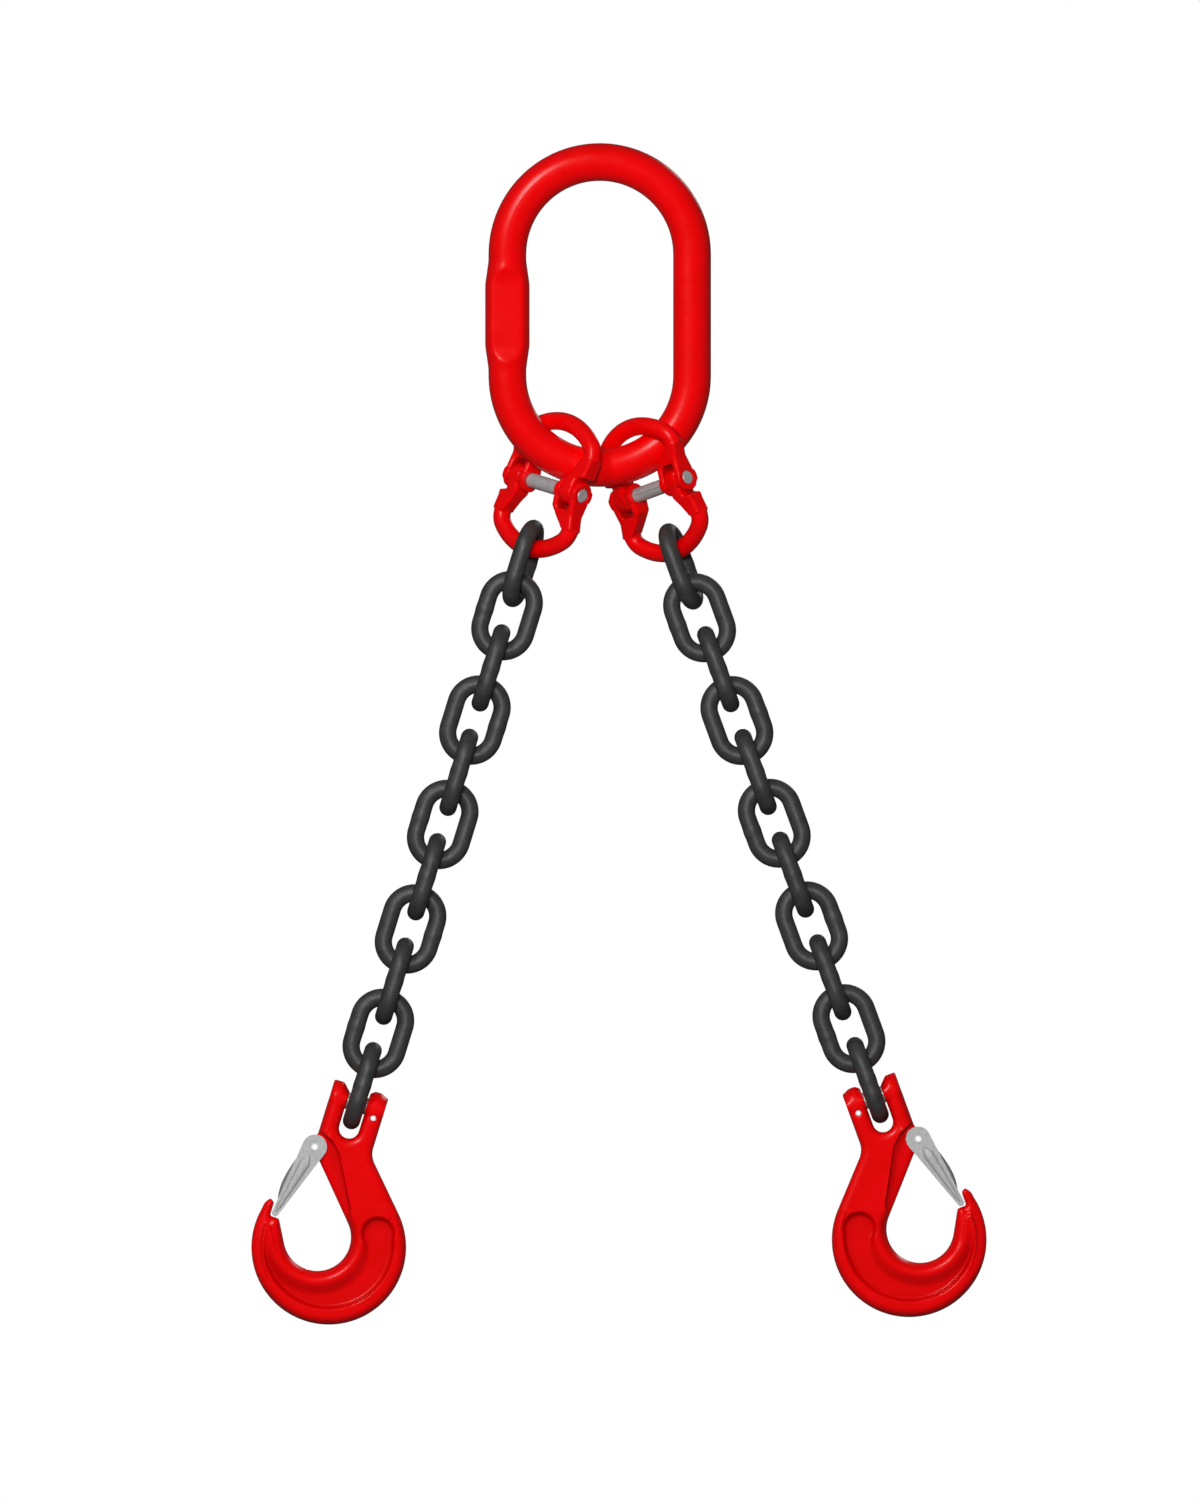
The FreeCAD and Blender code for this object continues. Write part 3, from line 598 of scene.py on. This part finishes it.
def latch_spine(side):
    """The rounded spine that joins the cheeks on the outside of the latch."""
    sections = []
    for number in range(SECTIONS + 1):
        way = number / SECTIONS
        share = SPINE_START + SPINE_RUN * way
        edge = LATCH_HEAD * (1 - share) + SPINE_TIP * share - SPINE_SINK
        bulge = SPINE_BULGE * math.sin(math.pi * way**SPINE_SKEW) ** SPINE_FULLNESS
        height = bulge + SPINE_RISE
        place = LATCH_PIVOT + LATCH_ALONG * (LATCH_LENGTH * share)
        outer = spine_arc(place, edge, height, SPINE_HALF_WIDTH)
        inner = spine_arc(place, edge - SPINE_SHEET, height, SPINE_HALF_WIDTH - SPINE_SHEET)
        sections.append(outer + inner[::-1])
    return from_sections(side + "_latch_spine", sections, hook_axes(side))


for side in SIDES:
    for piece in (latch_rib(side, -1), latch_rib(side, 1), latch_spine(side)):
        dress(piece, "latch_zinc")
        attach(piece, side + "_latch")


# ---- chain links --------------------------------------------------------------
def link_path():
    """Points and outward directions round the link's centreline, in its XZ plane."""
    arc = (CHAIN_INNER_WIDTH + CHAIN_WIRE) / 2
    straight = (CHAIN_PITCH - CHAIN_INNER_WIDTH) / 2
    path = []
    for crown, start in ((straight, 0.0), (-straight, math.pi)):
        for number in range(LINK_CROWN_STEPS):
            angle = start + math.pi * number / LINK_CROWN_STEPS
            out = Vector((math.cos(angle), 0, math.sin(angle)))
            path.append((out * arc + Vector((0, 0, crown)), out))
        side_x = -arc if crown > 0 else arc
        out = Vector((math.copysign(1, side_x), 0, 0))
        for number in range(LINK_SIDE_STEPS):
            height = crown * (1 - 2 * number / LINK_SIDE_STEPS)
            path.append((Vector((side_x, 0, height)), out))
    return path


def link_mesh():
    """A round-wire link along Z, with the swell of its weld on the -X side."""
    shape = bmesh.new()
    rings = []
    for place, out in link_path():
        welded = math.exp(-2 * (place.z / WELD_LENGTH) ** 2) if place.x < 0 else 0.0
        radius = CHAIN_WIRE / 2 - WELD_SWELL + WELD_SWELL * welded
        ring = []
        for number in range(LINK_RING_STEPS):
            angle = 2 * math.pi * number / LINK_RING_STEPS
            away = out * math.cos(angle) + Vector((0, math.sin(angle), 0))
            ring.append(shape.verts.new(place + away * radius))
        rings.append(ring)
    for ring, following in zip(rings, rings[1:] + rings[:1]):
        for a in range(LINK_RING_STEPS):
            b = (a + 1) % LINK_RING_STEPS
            shape.faces.new((ring[a], ring[b], following[b], following[a]))
    bmesh.ops.recalc_face_normals(shape, faces=shape.faces)
    mesh = bpy.data.meshes.new("chain_link")
    shape.to_mesh(mesh)
    shape.free()
    return mesh


def link_axes(side, number):
    """A link's own axes: Z along the leg, X across the link."""
    up = leg_up(side)
    if number < LINKS_PER_LEG:
        # the next link swings about the wire of this one
        width = joint_axis(f"{side}_link_{number + 1:02d}_swing")
    else:
        width = up.cross(joint_axis(f"{side}_link_{number:02d}_swing"))
    low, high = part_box(f"{side}_chain_link_{number:02d}")
    return axes_at((low + high) / 2, width, up.cross(width), up)


link_shape = link_mesh()
for side in SIDES:
    for number in range(1, LINKS_PER_LEG + 1):
        node = f"{side}_chain_link_{number:02d}"
        mesh = link_shape.copy()
        mesh.transform(link_axes(side, number))
        piece = bpy.data.objects.new(f"{side}_link_{number:02d}", mesh)
        bpy.context.scene.collection.objects.link(piece)
        stand_for(piece, node, "chain_black")


# everything that isn't painted takes the extra shine of the studio's soft lights
shiny = bpy.data.collections.new("shiny")
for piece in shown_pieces():
    if piece.data.materials[0] != MATERIALS["red_paint"]:
        shiny.objects.link(piece)


# ---- studio --------------------------------------------------------------------
FLOOR_HALF = 6.0
FLOOR_DROP = 0.16            # under the hooks
FLOOR_WHITE = (0.9, 0.9, 0.9, 1)
FLOOR_ROUGHNESS = 0.7
FLOOR_GLOW = 0.6
WHITE = (1, 1, 1, 1)
STUDIO_WHITE = 1.0           # what the camera sees behind the sling
STUDIO_FILL = 0.05           # what lights it from all round
VIEW_HEIGHT = 1.0638         # metres across the long side of the picture
VIEW_PLACE = Vector((0.0002, -3.0, -0.4035))

low, high = cad_box
middle = (low + high) / 2


def studio_floor():
    floor_z = low.z - FLOOR_DROP
    corners = []
    for x, y in ((-1, -1), (1, -1), (1, 1), (-1, 1)):
        corners.append((x * FLOOR_HALF, y * FLOOR_HALF, floor_z))
    mesh = bpy.data.meshes.new("floor")
    mesh.from_pydata(corners, [], [(0, 1, 2, 3)])
    floor = bpy.data.objects.new("floor", mesh)
    bpy.context.scene.collection.objects.link(floor)
    material, nodes, _ = new_material("floor_white")
    shader = nodes["Principled BSDF"]
    shader.inputs["Base Color"].default_value = FLOOR_WHITE
    shader.inputs["Roughness"].default_value = FLOOR_ROUGHNESS
    shader.inputs["Emission Color"].default_value = WHITE
    shader.inputs["Emission Strength"].default_value = FLOOR_GLOW
    mesh.materials.append(material)
    # it is only a backdrop: it puts no light or reflection on the sling
    floor.visible_diffuse = False
    floor.visible_glossy = False


def studio_world():
    """White behind the sling, and only a dim fill of light from all round."""
    world = bpy.data.worlds.new("studio")
    bpy.context.scene.world = world
    world.use_nodes = True
    nodes, links = world.node_tree.nodes, world.node_tree.links
    seen = nodes.new("ShaderNodeBackground")
    seen.inputs["Strength"].default_value = STUDIO_WHITE
    seen.inputs["Color"].default_value = WHITE
    fill = nodes["Background"]
    fill.inputs["Strength"].default_value = STUDIO_FILL
    fill.inputs["Color"].default_value = WHITE
    ray = nodes.new("ShaderNodeLightPath")
    mix = nodes.new("ShaderNodeMixShader")
    links.new(ray.outputs["Is Camera Ray"], mix.inputs["Fac"])
    links.new(fill.outputs["Background"], mix.inputs[1])
    links.new(seen.outputs["Background"], mix.inputs[2])
    links.new(mix.outputs["Shader"], nodes["World Output"].inputs["Surface"])


def area_light(name, offset, size, watts, shines=True, only=None):
    """A light at an offset from the sling's middle. only is what it lights."""
    light = bpy.data.lights.new(name, "AREA")
    light.shape = "RECTANGLE"
    light.size, light.size_y = size
    light.energy = watts
    lamp = bpy.data.objects.new(name, light)
    lamp.location = middle + offset
    lamp.rotation_euler = (-offset).to_track_quat("-Z", "Y").to_euler()
    lamp.visible_glossy = shines
    if only is not None:
        lamp.light_linking.receiver_collection = only
    bpy.context.scene.collection.objects.link(lamp)


def front_camera():
    camera = bpy.data.cameras.new("camera")
    camera.type = "ORTHO"
    camera.ortho_scale = VIEW_HEIGHT
    holder = bpy.data.objects.new("camera", camera)
    holder.location = VIEW_PLACE
    holder.rotation_euler = (math.pi / 2, 0, 0)
    bpy.context.scene.collection.objects.link(holder)
    bpy.context.scene.camera = holder


studio_floor()
studio_world()

FRONT, FRONT_KEY = Vector((-0.25, -4.0, 0.7)), Vector((-1.3, -2.4, 1.6))
BACK, BACK_KEY = Vector((0.25, 4.0, 0.7)), Vector((1.3, 2.6, 1.5))
SQUARE, TALL = (0.8, 0.8), (0.5, 1.0)
area_light("front", FRONT, SQUARE, watts=118, shines=False)
area_light("key", FRONT_KEY, TALL, watts=24)
area_light("back", BACK, SQUARE, watts=100, shines=False)
area_light("back_key", BACK_KEY, TALL, watts=5)
area_light("front_shine", FRONT, SQUARE, watts=75, only=shiny)
area_light("back_shine", BACK, SQUARE, watts=60, only=shiny)

front_camera()
bpy.context.scene.view_settings.view_transform = "Standard"
